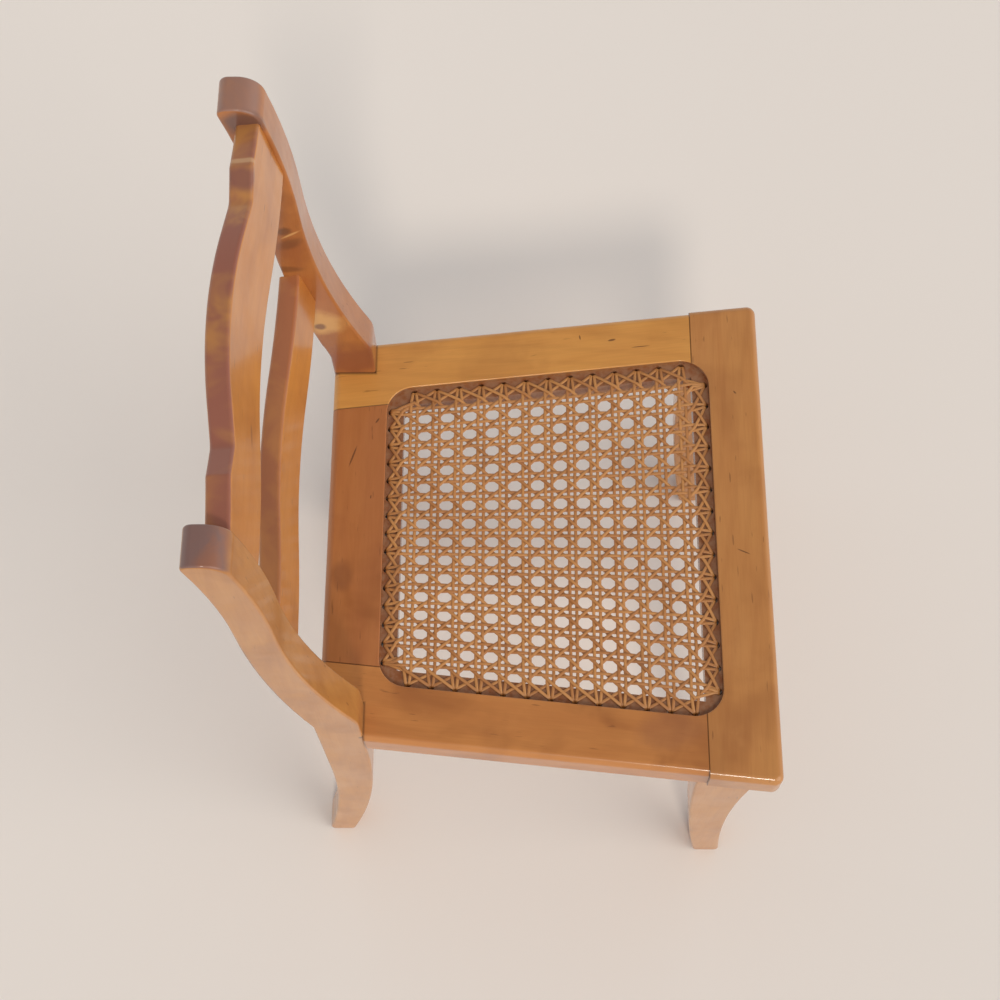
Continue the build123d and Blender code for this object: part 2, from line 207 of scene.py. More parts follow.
def makeSky(look):
    world = bpy.data.worlds.new("sky")
    world.use_nodes = True
    scene.world = world
    tree = world.node_tree
    tree.nodes.clear()
    # pale walls all round, a dimmer ceiling above
    towards = addNode(tree, "ShaderNodeTexCoord").outputs["Generated"]
    overhead = ramp(tree, axesOf(tree, towards)[2], look["wallTop"], look["ceilingFrom"])
    glow = mixColour(tree, overhead, look["wallLight"], look["ceilingLight"])
    light = addNode(tree, "ShaderNodeBackground", {"Color": glow, "Strength": 1.0})
    room = mixColour(tree, overhead, look["backdrop"], look["ceiling"])
    seen = addNode(tree, "ShaderNodeBackground", {"Color": room, "Strength": 1.0})
    path = addNode(tree, "ShaderNodeLightPath").outputs
    direct = math2(tree, "MAXIMUM", path["Is Camera Ray"], path["Is Glossy Ray"])
    direct = math2(tree, "MAXIMUM", direct, path["Is Transmission Ray"])
    mix = addNode(tree, "ShaderNodeMixShader", {0: direct, 1: light.outputs[0], 2: seen.outputs[0]})
    output = addNode(tree, "ShaderNodeOutputWorld")
    tree.links.new(mix.outputs[0], output.inputs[0])


def makeLamp(name, look):
    data = bpy.data.lights.new(name, "SUN")
    data.energy = look[name + "Strength"]
    data.angle = math.radians(look[name + "Angle"])
    data.color = look[name + "Colour"]
    obj = bpy.data.objects.new(name, data)
    back = Vector(look[name + "From"]).normalized()
    obj.location = back * look["lampDistance"]
    obj.rotation_mode = "QUATERNION"
    obj.rotation_quaternion = back.to_track_quat("Z", "Y")
    scene.collection.objects.link(obj)


makeFloor(studio)
makeSky(studio)
for lamp in ("key", "fill"):
    makeLamp(lamp, studio)
print("floor, sky and lamps made")


# varnished wood

varnish = {
    "honey": (0.570, 0.255, 0.066),
    "amber": (0.462, 0.183, 0.043),
    "russet": (0.250, 0.075, 0.018),
    "fleck": (0.095, 0.034, 0.012),
    # the dark of the seams: grime and painted shade
    "dirtAndShade": (0.060, 0.028, 0.014),
    "ringSpacing": 0.0060,
    "ringDepth": 0.08,  # depths are shares of the darker or paler colour
    "ringBend": 9.0,
    "figureScale": 80.0,
    "figureStretch": 6.0,  # how much longer along the grain than across it
    "blotchSize": 0.045,
    "fibreScale": 900.0,
    "fibreStretch": 28.0,
    "fibreDepth": 0.10,
    "poreScale": 520.0,
    "poreStretch": 7.0,
    "poreDepth": 0.40,
    "rubScale": 30.0,
    "rubDepth": 0.40,
    "nickDepth": 0.75,
    "nickReach": 0.004,  # below the surface
    "ragged": 1.2,  # how far the rubbed patches break up the edge of a stain
    "topFade": 0.02,  # height over which a post's dark top, grime with a painted reflection, fades out
    # rubbed edges with a painted highlight
    "edgeWearAndHighlight": 0.45,
    # grime in the seams, with painted shade round the posts
    "seamGrimeAndShade": 0.6,
    # painted shade with grime at the post's foot
    "footShadeAndGrime": 0.8,
    "rippleScale": 38.0,
    "ripple": 0.6,
    "poreDent": 0.25,
    "fibreDent": 0.10,
    "dentStrength": 0.30,
    "dentDepth": 0.0003,
    "coat": 0.75,
    "coatRoughness": 0.13,
    "coatIor": 1.48,
    "underIor": 1.5,
    "underGloss": 0.25,
}

seatLines = {
    "frontWall": -0.1155,  # rabbet walls, front and rear
    "rearWall": 0.0839,
    "sideWall": 0.11615,  # half width between the side walls, at the front wall
    "sideSlope": 0.10566,
    "ledgeTop": 0.2360,
    "seatTop": 0.2400,
    "frontJoint": -0.1053,
    "rearJoint": 0.0737,
    "postFront": 0.0917,  # the notches that hold the posts
    "postInner": 0.10655,
    "jointInset": 0.01025,  # from a side wall to the end of the rear rail
    "wallEdge": (-0.0006, 0.0002),  # soft edges of the masks, from nothing to full
    "topEdge": (0.0002, 0.0009),
    "ledgeFade": (0.014, 0.004),
    "seamEdge": (0.00055, 0.0002),
    "rearEdge": 0.001,
    "notchEdge": (0.0013, 0.0003),
    "faceEdge": (0.0030, 0.0015),
    "footEdge": (0.0022, 0.0004),
    # painted shade with grime round the posts
    "notchShadeAndGrime": 0.9,
    "dustScale": 240.0,
    "ledgeDullness": 0.35,
    "ledgeColour": (0.310, 0.145, 0.070),
}


def alongGrain(tree, coords, look):
    # local X runs along the grain, and each piece is cut from another place in the tree
    turns = {"X": (0, 0, 0), "Y": (0, 0, math.pi / 2), "Z": (0, -math.pi / 2, 0)}
    turn = Vector(turns[look["grain"]])
    turn.z += look.get("swing", 0.0)
    return placed(tree, coords, look["cutFrom"], turn)


def distance(tree, coords, place, turn, size):
    # 0 in the middle of an ellipsoid, 1 on its surface
    local = placed(tree, coords, place, [math.radians(angle) for angle in turn], size)
    return addNode(tree, "ShaderNodeVectorMath", {0: local}, operation="LENGTH").outputs["Value"]


def marks(tree, coords, spots):
    # dark nicks: flat ellipsoids in the surface, each (place, angle in degrees, length, width)
    total = None
    for place, angle, length, width in spots:
        size = (length / 2, width / 2, varnish["nickReach"])
        mark = ramp(tree, distance(tree, coords, place, (0, 0, angle), size), 1.0, 0.55)
        total = mark if total is None else math2(tree, "MAXIMUM", total, mark)
    return total


def halfWidth(tree, y, inset):
    # half the width between the rabbet's side walls, less the inset
    fromFront = math2(tree, "SUBTRACT", y, seatLines["frontWall"])
    return math2(tree, "MULTIPLY_ADD", fromFront, -seatLines["sideSlope"], seatLines["sideWall"] - inset)


def ledgeMask(tree, coords):
    # the rabbet that the cane is laced into: inside its walls and below the seat's top
    x, y, z = axesOf(tree, coords)
    fromFront = math2(tree, "SUBTRACT", y, seatLines["frontWall"])
    fromRear = math2(tree, "SUBTRACT", seatLines["rearWall"], y)
    fromSide = math2(tree, "SUBTRACT", halfWidth(tree, y, 0.0), math2(tree, "ABSOLUTE", x))
    inside = math2(tree, "MINIMUM", math2(tree, "MINIMUM", fromFront, fromRear), fromSide)
    inside = ramp(tree, inside, *seatLines["wallEdge"])
    below = ramp(tree, z, *(seatLines["seatTop"] - depth for depth in seatLines["topEdge"]))
    above = ramp(tree, z, *(seatLines["ledgeTop"] - depth for depth in seatLines["ledgeFade"]))
    return times(tree, times(tree, inside, below), above)


def seamGrimeAndShadeMask(tree, coords):
    # grime in the lines where the rails meet, and painted shade with grime round the posts
    x, y = axesOf(tree, coords)[:2]
    outwards = math2(tree, "ABSOLUTE", x)
    front = apart(tree, y, seatLines["frontJoint"])
    rear = apart(tree, halfWidth(tree, y, seatLines["jointInset"]), outwards)
    rearJoint = seatLines["rearJoint"]
    aheadOfRear = ramp(tree, y, rearJoint + seatLines["rearEdge"], rearJoint)
    rear = math2(tree, "ADD", rear, aheadOfRear)
    seams = ramp(tree, math2(tree, "MINIMUM", front, rear), *seatLines["seamEdge"])
    ahead = math2(tree, "SUBTRACT", seatLines["postFront"], y)
    beside = math2(tree, "SUBTRACT", seatLines["postInner"], outwards)
    notch = ramp(tree, math2(tree, "MAXIMUM", ahead, beside), *seatLines["notchEdge"])
    return math2(tree, "MAXIMUM", seams, times(tree, notch, seatLines["notchShadeAndGrime"]))


def notchFaces(tree, coords):
    # the post's front and inner faces, which stand in the notch of the side rail
    x, y = axesOf(tree, coords)[:2]
    ahead = apart(tree, y, seatLines["postFront"])
    beside = apart(tree, math2(tree, "ABSOLUTE", x), seatLines["postInner"])
    return ramp(tree, math2(tree, "MINIMUM", ahead, beside), *seatLines["faceEdge"])


def upFacing(tree):
    # how far a face looks up: 1 on the flat, 0 on a side
    return axesOf(tree, addNode(tree, "ShaderNodeTexCoord").outputs["Normal"])[2]


def grainColour(tree, coords, look, tone):
    # growth rings cut through on the flat, figure, stain, fibres and pores
    grain = alongGrain(tree, coords, look)
    slow = placed(tree, grain, size=(varnish["figureStretch"], 1.0, 1.0))
    drawn = placed(tree, grain, size=(varnish["fibreStretch"], 1.0, 1.0))
    porous = placed(tree, grain, size=(varnish["poreStretch"], 1.0, 1.0))
    rings = addNode(tree, "ShaderNodeTexWave", {
        "Vector": slow,
        "Scale": math.tau / 20 / varnish["ringSpacing"] * look.get("ringShare", 1.0),  # 20 / tau waves at 1
        "Distortion": varnish["ringBend"],
        "Detail": 2.0,
        "Detail Scale": 0.35,
    }, bands_direction="DIAGONAL").outputs["Fac"]
    figure = noise(tree, slow, varnish["figureScale"], 3.0, 0.55, 0.6)
    blotch = noise(tree, coords, 1 / varnish["blotchSize"], 3.0, 0.5, 0.4)
    fibre = noise(tree, drawn, varnish["fibreScale"], 2.0, 0.6)
    pore = noise(tree, porous, varnish["poreScale"], 1.0, 0.4)

    streak = math2(tree, "MULTIPLY_ADD", ramp(tree, figure, 0.30, 0.72), 0.5, 0.2)
    colour = mixColour(tree, streak, tone["honey"], tone["amber"])
    colour = blend(tree, colour, ramp(tree, rings, 0.6, 1.0), varnish["ringDepth"], tone["russet"])
    colour = blend(tree, colour, ramp(tree, blotch, 0.44, 0.72), look["stain"], tone["russet"])
    colour = blend(tree, colour, ramp(tree, fibre, 0.35, 0.75), varnish["fibreDepth"], tone["russet"])
    pits = ramp(tree, pore, 0.72, 0.79)
    colour = blend(tree, colour, pits, varnish["poreDepth"], tone["fleck"])
    return colour, fibre, pits


def topGrimeAndPaintedReflection(tree, coords, look, facing, colour):
    # upward faces painted darker and greyer: handling grime, with a painted reflection of the pale bluish
    # room
    patch = noise(tree, coords, look["topPatch"], 3.0, 0.55, 0.5)
    dark = mixColour(tree, ramp(tree, patch, 0.42, 0.66), look["top"], look["topPale"])
    share = ramp(tree, facing, *look["topFrom"])
    if "topAbove" in look:
        height = axesOf(tree, coords)[2]
        high = ramp(tree, height, look["topAbove"] - varnish["topFade"], look["topAbove"])
        share = times(tree, share, high)
    return mixColour(tree, share, colour, dark)


def stainsAndPaintedLight(tree, coords, spots, rub, colour):
    # ragged ellipsoids of another colour, stains and on some pieces painted shade and light, each (place,
    # turn in degrees, half size, colour, share)
    ragged = math2(tree, "SUBTRACT", rub, 0.5)
    for place, turn, size, tint, share in spots:
        away = distance(tree, coords, place, turn, size)
        away = math2(tree, "MULTIPLY_ADD", ragged, varnish["ragged"], away)
        colour = blend(tree, colour, ramp(tree, away, 1.0, 0.4), share, tint)
    return colour


def seatWearAndPaintedLight(tree, coords, facing, tone, colour, roughness):
    # outer edges paler from rubbing and a painted highlight, grime and painted shade in the seams, a dull
    # and dusty ledge
    edge = times(tree, ramp(tree, facing, 0.97, 0.80), ramp(tree, facing, 0.0, 0.35))
    colour = blend(tree, colour, edge, varnish["edgeWearAndHighlight"], tone["honey"])
    colour = blend(tree, colour, seamGrimeAndShadeMask(tree, coords), varnish["seamGrimeAndShade"], tone["dirtAndShade"])
    ledge = ledgeMask(tree, coords)
    dust = noise(tree, coords, seatLines["dustScale"], 3.0, 0.6)
    dusty = mixColour(tree, ramp(tree, dust, 0.35, 0.75), seatLines["ledgeColour"], tone["russet"])
    colour = mixColour(tree, ledge, colour, dusty)
    return colour, math2(tree, "MULTIPLY_ADD", ledge, seatLines["ledgeDullness"], roughness)


def footShadeAndGrime(tree, coords, tone, colour):
    # painted shade with grime where the post stands on the seat
    above = apart(tree, axesOf(tree, coords)[2], seatLines["seatTop"])
    low = ramp(tree, above, *seatLines["footEdge"], 0.0, varnish["footShadeAndGrime"])
    return mixColour(tree, times(tree, low, notchFaces(tree, coords)), colour, tone["fleck"])


def makeWood(name, look):
    tone = {key: varnish[key] for key in ("honey", "amber", "russet", "fleck", "dirtAndShade")}
    tone.update(look.get("tones", {}))
    material, tree, shader, coords = newMaterial(name, tone["amber"])
    colour, fibre, pits = grainColour(tree, coords, look, tone)

    # wear: rubbed patches are paler, nicks hold grime
    rub = noise(tree, coords, varnish["rubScale"], 4.0, 0.6)
    colour = blend(tree, colour, ramp(tree, rub, 0.56, 0.74), varnish["rubDepth"], tone["honey"])
    roughness = ramp(tree, rub, 0.3, 0.8, 0.30, 0.48)
    dents = times(tree, pits, varnish["poreDent"])
    facing = upFacing(tree)
    # upward faces: grime with a painted reflection
    if "top" in look:
        colour = topGrimeAndPaintedReflection(tree, coords, look, facing, colour)
    # patches: stains, and on some pieces painted shade and light
    if "patches" in look:
        colour = stainsAndPaintedLight(tree, coords, look["patches"], rub, colour)
    if "marks" in look:
        nicks = marks(tree, coords, look["marks"])
        colour = blend(tree, colour, nicks, varnish["nickDepth"], tone["fleck"])
        dents = math2(tree, "MAXIMUM", dents, nicks)
    # seat rails: rubbed edges with a painted highlight, grime and painted shade in the seams
    if look.get("seat"):
        colour, roughness = seatWearAndPaintedLight(tree, coords, facing, tone, colour, roughness)
    # posts: painted shade with grime at the foot
    if look.get("foot"):
        colour = footShadeAndGrime(tree, coords, tone, colour)

    ripple = noise(tree, coords, varnish["rippleScale"], 2.0)
    height = math2(tree, "MULTIPLY_ADD", fibre, varnish["fibreDent"], times(tree, dents, -1.0))
    height = math2(tree, "MULTIPLY_ADD", ripple, varnish["ripple"], height)
    relief = {"Strength": varnish["dentStrength"], "Distance": varnish["dentDepth"], "Height": height}
    bump = addNode(tree, "ShaderNodeBump", relief)
    tree.links.new(colour, shader.inputs["Base Color"])
    tree.links.new(roughness, shader.inputs["Roughness"])
    tree.links.new(bump.outputs[0], shader.inputs["Normal"])
    shader.inputs["IOR"].default_value = varnish["underIor"]
    shader.inputs["Specular IOR Level"].default_value = varnish["underGloss"]
    shader.inputs["Coat Weight"].default_value = varnish["coat"]
    shader.inputs["Coat Roughness"].default_value = varnish["coatRoughness"]
    shader.inputs["Coat IOR"].default_value = varnish["coatIor"]
    return material


seatTop = seatLines["seatTop"]
backTones = {
    "honey": (0.610, 0.240, 0.048),
    "amber": (0.535, 0.190, 0.036),
    "russet": (0.350, 0.110, 0.024),
}
# a piece's top colours go on its upward faces: grime with a painted reflection
woodPieces = {
    "front_seat_rail": {
        "grain": "X", "cutFrom": (0.31, 0.12, 0.05), "seat": True, "stain": 0.40,
        "tones": {"honey": (0.535, 0.234, 0.067), "amber": (0.462, 0.183, 0.050)},
        "marks": [
            ((-0.0136, -0.1313, seatTop), 66, 0.010, 0.0010),
            ((0.0922, -0.1312, seatTop), 40, 0.003, 0.0013),
        ],
    },
    "rear_seat_rail": {
        "grain": "X", "cutFrom": (0.77, -0.21, 0.02), "seat": True, "stain": 0.70,
        "tones": {"honey": (0.455, 0.162, 0.046), "amber": (0.370, 0.117, 0.034)},
        "marks": [
            ((0.0496, 0.1039, seatTop), -18, 0.017, 0.0013),
            ((0.0737, 0.0896, seatTop), -33, 0.005, 0.0014),
            ((0.0225, 0.0921, seatTop), -7, 0.003, 0.0010),
        ],
        "patches": [
            ((-0.0284, 0.1080, seatTop), (0, 0, 0), (0.012, 0.009, 0.010), (0.230, 0.075, 0.026), 0.55),
        ],
    },
    "left_seat_rail": {
        "grain": "Y", "cutFrom": (0.11, 0.43, -0.07), "swing": 0.105, "seat": True, "stain": 0.25,
        "tones": {"honey": (0.660, 0.300, 0.067), "amber": (0.585, 0.245, 0.053)},
        "marks": [
            ((0.1292, -0.0560, seatTop), 103, 0.006, 0.0018),
            ((0.1245, -0.0739, seatTop), 96, 0.014, 0.0008),
            ((0.1311, -0.0360, seatTop), 9, 0.004, 0.0012),
        ],
    },
    "right_seat_rail": {
        "grain": "Y", "cutFrom": (-0.39, 0.27, 0.06), "swing": -0.105, "seat": True, "stain": 0.60,
        "tones": {"honey": (0.560, 0.222, 0.057), "amber": (0.455, 0.160, 0.040)},
        "marks": [((-0.1330, 0.0480, seatTop), 92, 0.005, 0.0018)],
        "patches": [
            ((-0.1230, -0.0850, seatTop), (0, 0, 100), (0.026, 0.015, 0.01), (0.30, 0.11, 0.045), 0.45),
        ],
    },
    "left_stile": {
        "grain": "Z", "cutFrom": (0.07, 0.36, 0.51), "stain": 0.45, "foot": True,
        "tones": {"honey": (0.490, 0.180, 0.046), "amber": (0.390, 0.125, 0.031)},
        "top": (0.300, 0.152, 0.108), "topPale": (0.370, 0.165, 0.092), "topPatch": 40.0,
        "topFrom": (0.25, 0.70), "topAbove": 0.490,
        "patches": [  # on the inner face: painted shade with grime at the top; above the stay painted shade, painted shadows and a painted line of light; painted shade with dirt along the stay's top; a knot in a painted pool of light; painted shade at the foot
            ((0.1066, 0.1340, 0.5035), (0, 0, 0), (0.006, 0.017, 0.012), (0.130, 0.065, 0.055), 0.85),
            ((0.1066, 0.1250, 0.3840), (0, 0, 0), (0.003, 0.020, 0.024), (0.300, 0.085, 0.025), 0.60),
            ((0.1066, 0.1275, 0.4050), (-36, 0, 0), (0.003, 0.007, 0.0055), (0.120, 0.045, 0.020), 0.70),
            ((0.1066, 0.1250, 0.3930), (-36, 0, 0), (0.003, 0.012, 0.0070), (0.160, 0.055, 0.020), 0.60),
            ((0.1066, 0.1240, 0.4020), (-36, 0, 0), (0.003, 0.0105, 0.0013), (0.700, 0.370, 0.130), 0.75),
            ((0.1066, 0.1300, 0.3660), (0, 0, 0), (0.003, 0.013, 0.0045), (0.160, 0.055, 0.020), 0.60),
            ((0.1066, 0.1170, 0.3040), (0, 0, 0), (0.003, 0.015, 0.017), (0.720, 0.390, 0.120), 0.75),
            ((0.1066, 0.1195, 0.3000), (0, 0, 0), (0.003, 0.0045, 0.0045), (0.170, 0.060, 0.030), 0.80),
            ((0.1066, 0.1030, 0.2580), (0, 0, 0), (0.006, 0.026, 0.028), (0.225, 0.058, 0.030), 0.75),
        ],
    },
    "right_stile": {
        "grain": "Z", "cutFrom": (-0.61, 0.18, 0.24), "stain": 0.40, "foot": True,
        "top": (0.205, 0.111, 0.092), "topPale": (0.285, 0.115, 0.066), "topPatch": 45.0,
        "topFrom": (0.25, 0.70), "topAbove": 0.490,
    },
    "front_left_leg": {"grain": "Z", "cutFrom": (0.23, -0.14, 0.83), "stain": 0.40},
    "front_right_leg": {"grain": "Z", "cutFrom": (-0.15, -0.52, 0.66), "stain": 0.30},
    "crest_rail": {
        "grain": "X", "cutFrom": (-0.42, 0.63, 0.35), "stain": 0.45, "ringShare": 0.8, "tones": backTones,
        "top": (0.298, 0.102, 0.063), "topPale": (0.470, 0.200, 0.058), "topPatch": 34.0,
        "topFrom": (0.35, 0.75),
        "patches": [  # a streak on the front; painted shade and a painted highlight line on the upper edge, near the left post
            ((-0.0464, 0.1250, 0.4735), (0, 0, 0), (0.009, 0.006, 0.0025), (0.200, 0.065, 0.025), 0.60),
            ((0.0735, 0.1325, 0.5040), (0, 0, 0), (0.010, 0.018, 0.005), (0.215, 0.080, 0.065), 0.80),
            ((0.0839, 0.1325, 0.5055), (0, 0, 0), (0.0020, 0.018, 0.004), (0.560, 0.320, 0.160), 0.75),
        ],
    },
    "stay_rail": {
        "grain": "X", "cutFrom": (0.52, 0.71, -0.33), "stain": 0.45, "ringShare": 0.8, "tones": backTones,
        "top": (0.410, 0.140, 0.056), "topPale": (0.500, 0.190, 0.060), "topPatch": 30.0,
        "topFrom": (0.35, 0.75),
    },
}

for name, look in woodPieces.items():
    nodes[name].material_slots[0].material = makeWood("varnished_" + name, look)
print("varnish on", len(woodPieces), "wooden pieces")


# bare dowels inside the joints

dowelLook = {
    "pale": (0.62, 0.44, 0.26),
    "dark": (0.47, 0.31, 0.17),
    "grainScale": 260.0,
    "dentStrength": 0.3,
    "dentDepth": 0.0002,
    "roughness": 0.7,
}


def makeDowelWood(look):
    material, tree, shader, coords = newMaterial("bareDowel", look["pale"])
    streak = noise(tree, coords, look["grainScale"], 3.0, 0.6, 0.5)
    colour = mixColour(tree, ramp(tree, streak, 0.3, 0.7), look["pale"], look["dark"])
    relief = {"Strength": look["dentStrength"], "Distance": look["dentDepth"], "Height": streak}
    bump = addNode(tree, "ShaderNodeBump", relief)
    tree.links.new(colour, shader.inputs["Base Color"])
    tree.links.new(bump.outputs[0], shader.inputs["Normal"])
    shader.inputs["Roughness"].default_value = look["roughness"]
    return material


bareDowel = makeDowelWood(dowelLook)
dowelNodes = [name for name in nodes if name.endswith("_dowels")]
for name in dowelNodes:
    nodes[name].material_slots[0].material = bareDowel
print("bare wood on", len(dowelNodes), "groups of dowels")


# hand-woven cane

cane = {
    "rows": 16,  # eyes across the seat
    "columns": 14,  # eyes from front to rear
    "frontPitch": 0.014144,  # row to row at the front line of holes
    "rearPitch": 0.011582,
    "rim": 0.002,  # the net's edge beyond the line of holes
    "strandWidth": 0.0019,
    "strandThickness": 0.0007,
    "cornerShare": 0.42,  # radius of a strand's edges, as a share of its thickness
    "cornerSteps": 1,
    "pairOffset": 0.00195,  # from a row's line to each strand of its pair
    "holeOffset": 0.0009,  # the same, where the pair enters its hole
    "weaveRise": 0.00042,
    "crossRise": 0.00068,  # diagonals over and under the pairs
    "midHeight": 0.0013,  # middle of the weave above the ledge
    "sag": 0.0006,
    "squeeze": 0.028,  # rows drawn in towards the middle by the diagonals
    "holeSpread": 0.0010,  # a diagonal enters its hole on its own side
    "ledgeGap": 0.0002,  # under a strand that lies on the ledge
    "pairLift": 0.0002,  # pairs lie that much higher there
    "diagonalGap": 0.0003,  # between two diagonals that cross on the ledge
    "turnDown": 0.0006,  # where a strand starts to turn down, before the middle of its hole
    "turnSteps": ((0.0007, 0.0004), (0.0011, 0.0013)),  # its bend, each (run, drop)
    "turnRun": 0.0013,
    "stepsPerEye": 10,
    "holeDip": 0.0045,  # how far a strand's end goes down its hole
    "loopBend": ((0.0004, 0.0050), (0.0006, 0.0020), (0.0010, 0.0002)),  # out of it below, each (run, rise)
    "loopFlat": (0.0020, 0.0035),  # where a loop meets the underside, and where it hangs free
    "loopSlack": (0.0001, 0.0006),
    "loopDrift": 0.0007,
    "wobble": 0.00012,
    "seed": 7,
    "toneSeeds": {
        "cane_front_to_rear": 11,
        "cane_side_to_side": 12,
        "cane_diagonals": 13,
        "cane_loops_below": 14,
    },
}
caneLow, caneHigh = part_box("cane_seat")
holeFront = caneLow.y + cane["rim"]
holeRear = caneHigh.y - cane["rim"]
ledgeTop = caneLow.z
halfRows = cane["rows"] // 2
columns = cane["columns"]
columnPitch = (holeRear - holeFront) / columns
jitter = random.Random(cane["seed"])


def rowPitch(v):
    return cane["frontPitch"] + (cane["rearPitch"] - cane["frontPitch"]) * v / columns


def overNet(u, v, height, aside=(0.0, 0.0)):
    # a point of the net: u counts rows from the middle, v columns from the front
    fromEnds = max(0.0, 1 - (2 * v / columns - 1) ** 2)
    fromSides = max(0.0, 1 - (u / halfRows) ** 2)
    x = u * rowPitch(v) * (1 - cane["squeeze"] * math.sqrt(fromEnds)) + aside[0]
    y = holeFront + v * columnPitch + aside[1]
    return Vector((x, y, ledgeTop + height - cane["sag"] * fromSides * fromEnds))


def tuckEnd(path, hole, lift):
    # the strand's last bit lies on the ledge or that far above it, turns down and goes into its hole
    lie = cane["strandThickness"] / 2 + cane["ledgeGap"]
    last = path[-1]
    step = Vector((hole.x - last.x, hole.y - last.y, 0)).normalized()
    rim = Vector((hole.x, hole.y, ledgeTop)) - step * cane["turnDown"]
    before = last.lerp(rim, 0.5)
    before.z = ledgeTop + lie + lift
    path.append(before)
    path.append(rim + Vector((0, 0, lie)))
    for run, drop in cane["turnSteps"]:
        path.append(rim + step * run + Vector((0, 0, lie - drop)))
    path.append(rim + step * cane["turnRun"] + Vector((0, 0, -cane["holeDip"])))


def laced(points, firstHole, lastHole, lift):
    # a strand through its points, tucked into a hole at both ends
    tuckEnd(points, lastHole, lift)
    points.reverse()
    tuckEnd(points, firstHole, lift)
    return points


def holeAt(u, v, aside=(0.0, 0.0)):
    return Vector((u * rowPitch(v) + aside[0], holeFront + v * columnPitch + aside[1], ledgeTop))


def pairStrands(lines, last, along):
    # two strands along each line of holes: the second crosses the other way over and under
    strands = []
    steps = cane["stepsPerEye"]
    for line in lines:
        for hand in (-1, 1):
            drift = jitter.uniform(-1, 1) * cane["wobble"]
            points = []
            for step in range(steps // 2, steps * last - steps // 2 + 1):
                t = step / steps
                offset = hand * cane["pairOffset"] + drift
                if along == "v":
                    height = cane["midHeight"] - hand * cane["weaveRise"] * math.sin(math.tau * t)
                    points.append(overNet(line, t, height, (offset, 0)))
                else:
                    height = cane["midHeight"] + hand * cane["weaveRise"] * math.sin(math.tau * t)
                    points.append(overNet(t - halfRows, line, height, (0, offset)))
            small = hand * cane["holeOffset"]
            if along == "v":
                ends = holeAt(line, 0, (small, 0)), holeAt(line, last, (small, 0))
            else:
                ends = holeAt(-halfRows, line, (0, small)), holeAt(halfRows, line, (0, small))
            strands.append(laced(points, *ends, cane["pairLift"]))
    return strands


def realHole(u, v, fromU, fromV):
    # there are no holes in the four corners, so a strand takes the next hole along the front or rear
    if abs(u) >= halfRows and v in (0, columns):
        return holeAt(math.copysign(halfRows - 1, u), v)
    if v in (0, columns):
        return holeAt(u, v, (math.copysign(cane["holeSpread"], fromU - u), 0))
    return holeAt(u, v, (0, math.copysign(cane["holeSpread"], fromV - v)))


def diagonalStrands(lean):
    # lean 1 runs u - v = k + 1/2 and goes over the pairs from side to side, lean -1 over the others;
    # lean 1 was laid last, so it is on top where the two cross on the ledge
    strands = []
    steps = cane["stepsPerEye"]
    lift = cane["strandThickness"] + cane["diagonalGap"] if lean > 0 else 0.0
    for k in range(-halfRows - columns, halfRows + columns + 1):
        line = k + 0.5
        path = []
        for half in range(1, 2 * columns):  # v in half steps gives every crossing with a pair
            v = half / 2
            u = line + lean * v
            if abs(u) <= halfRows - 0.5 and 0.5 <= v <= columns - 0.5:
                path.append((u, v))
        if len(path) < 2:
            continue
        drift = jitter.uniform(-1, 1) * cane["wobble"]
        points = []
        count = (len(path) - 1) * steps // 2
        (u0, v0), (u1, v1) = path[0], path[-1]
        for step in range(count + 1):
            share = step / count
            u = u0 + (u1 - u0) * share
            v = v0 + (v1 - v0) * share
            height = cane["midHeight"] - lean * cane["crossRise"] * math.cos(math.tau * u)
            points.append(overNet(u, v, height, (drift, -lean * drift)))
        ends = []
        for u, v, away in ((u0, v0, -1), (u1, v1, 1)):
            if v in (0.5, columns - 0.5):
                ends.append(realHole(round(u + lean * away), round(v + 0.5 * away), u, v))
            else:
                ends.append(realHole(round(u + 0.5 * lean * away), round(v + away), u, v))
        strands.append(laced(points, *ends, lift))
    return strands


def loopHalf(hole, step, side, slack, underside):
    # out of a hole and along the underside
    lie = cane["strandThickness"] / 2
    flat, free = cane["loopFlat"]
    bend = [*cane["loopBend"], (flat, -lie), (free, -lie - slack)]
    return [hole + step * run + side + Vector((0, 0, underside - hole.z + rise)) for run, rise in bend]


def loopsBelow(underside):
    # under the frame each strand steps from one hole to the next
    rim = [(u, 0) for u in range(-halfRows + 1, halfRows)]
    rim += [(halfRows, v) for v in range(1, columns)]
    rim += [(u, columns) for u in range(halfRows - 1, -halfRows, -1)]
    rim += [(-halfRows, v) for v in range(columns - 1, 0, -1)]
    strands = []
    for index, spot in enumerate(rim):
        start = holeAt(*spot)
        end = holeAt(*rim[(index + 1) % len(rim)])
        step = Vector((end.x - start.x, end.y - start.y, 0)).normalized()
        slack = jitter.uniform(*cane["loopSlack"])
        side = Vector((-step.y, step.x, 0)) * jitter.uniform(-cane["loopDrift"], cane["loopDrift"])
        there = loopHalf(start, step, side, slack, underside)
        back = loopHalf(end, -step, side, slack, underside)
        strands.append(there + back[::-1])
    return strands


def keepAs(tree, geometry, name, value, domain):
    # the value stays with the geometry under that name, for the material to read
    sockets = {"Geometry": geometry, "Name": name}
    store = addNode(tree, "GeometryNodeStoreNamedAttribute", sockets, data_type="FLOAT", domain=domain)
    tree.links.new(value, store.inputs["Value"])
    return store.outputs[0]


